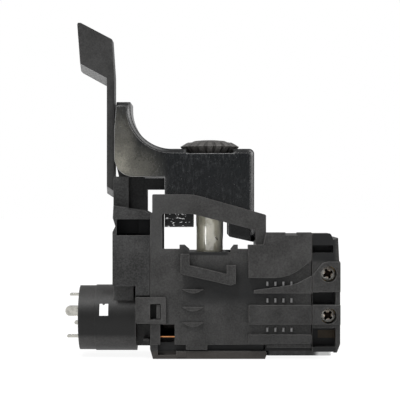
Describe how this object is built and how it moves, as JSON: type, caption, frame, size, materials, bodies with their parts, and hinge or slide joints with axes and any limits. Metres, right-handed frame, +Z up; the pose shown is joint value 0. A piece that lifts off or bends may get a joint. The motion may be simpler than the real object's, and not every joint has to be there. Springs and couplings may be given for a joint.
{
  "type": "power tool trigger switch",
  "caption": "Trigger switch of a hammer drill with a speed dial in the trigger, a swinging reversing lever, screw terminals and a round brush connector.",
  "frame": {"origin": "on the plunger's axis, at the underside of the rail that the switch stands on", "axes": "+Z up along the plunger, towards the trigger; +Y away from the cover, across the flat body; +X from the reversing lever to the screw terminals"},
  "size_m": [0.0869, 0.0271, 0.1059],
  "materials": {
    "housing_plastic": "moulded matte black-grey",
    "trigger_plastic": "polished black",
    "lever_plastic": "moulded satin",
    "dial_plastic": "satin warm grey",
    "ivory_plastic": "natural satin",
    "inner_plastic": "phenolic brown",
    "board": "lacquered",
    "spring_steel": "drawn wire",
    "screw_steel": "zinc plated",
    "brass": "stamped",
    "copper": "stamped",
    "tinned": "tinned",
    "aluminium": "rolled"
  },
  "bodies": {
    "switch_body": {"rear_housing": "housing_plastic", "front_cover": "housing_plastic", "reversing_housing": "housing_plastic", "connector_drum": "housing_plastic", "lever_pin": "screw_steel", "brush_contact_1": "tinned", "brush_contact_2": "tinned", "brush_contact_3": "tinned", "brush_contact_4": "tinned", "terminal_clamp_upper": "brass", "terminal_clamp_lower": "brass", "terminal_screw_upper": "screw_steel", "terminal_screw_lower": "screw_steel", "heat_sink": "aluminium", "heat_sink_screw": "aluminium", "link_bar": "copper", "fixed_contact_line": "brass", "fixed_contact_load": "brass", "circuit_board": "board", "capacitor": "inner_plastic", "triac": "inner_plastic", "return_spring": "spring_steel"},
    "trigger_body": {"trigger": "trigger_plastic", "plunger": "ivory_plastic", "contact_carrier": "inner_plastic", "contact_bridge": "copper", "wiper": "copper"},
    "dial_body": {"speed_dial": "dial_plastic", "dial_stem": "dial_plastic"},
    "lever_body": {"reversing_lever": "lever_plastic"},
    "slider_body": {"reversing_slider": "inner_plastic", "reversing_bridge_left": "copper", "reversing_bridge_right": "copper"}
  },
  "joints": [
    {"name": "trigger_slide", "type": "slide", "parent": "switch_body", "child": "trigger_body", "axis": [0, 0, -1], "range_m": [0, 0.007], "stiffness_N_per_m": 600, "springref_m": -0.008, "deforming": ["return_spring"]},
    {"name": "dial_turn", "type": "hinge", "parent": "trigger_body", "child": "dial_body", "pos_m": [0, 0, 0.0642], "axis": [0, 0, 1], "range_deg": [-135, 135]},
    {"name": "lever_swing", "type": "hinge", "parent": "switch_body", "child": "lever_body", "pos_m": [-0.0278, 0, 0.0521], "axis": [1, 0, 0], "range_deg": [-12, 12]},
    {"name": "slider_shift", "type": "slide", "parent": "switch_body", "child": "slider_body", "axis": [0, 1, 0], "range_m": [-0.0034, 0.0034]}
  ],
  "couplings": [
    {"joint": "slider_shift", "follows": "lever_swing", "m_per_rad": 0.016}
  ]
}
